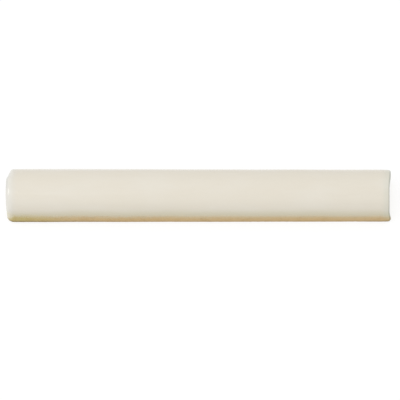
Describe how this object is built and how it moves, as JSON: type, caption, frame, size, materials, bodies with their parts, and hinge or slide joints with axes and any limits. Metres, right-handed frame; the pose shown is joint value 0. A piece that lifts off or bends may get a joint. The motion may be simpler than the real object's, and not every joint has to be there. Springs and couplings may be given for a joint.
{
  "type": "half-round liner tile",
  "caption": "Straight half-round ceramic liner tile, glazed on its crown and ends, with a bare clay foot and two mortar keys pressed into its flat back.",
  "frame": {"origin": "middle of the flat back, on the surface that the tile lies or is bedded on", "axes": "+X along the tile towards its squarer end, +Y across the tile, +Z out of the crown, away from the wall"},
  "size_m": [0.152, 0.019, 0.0155],
  "materials": {
    "glazed_clay": "glossy cream glaze over the crown and ends, bare buff clay on the foot and back"
  },
  "bodies": {
    "root": {"liner_tile": "glazed_clay"}
  },
  "joints": []
}
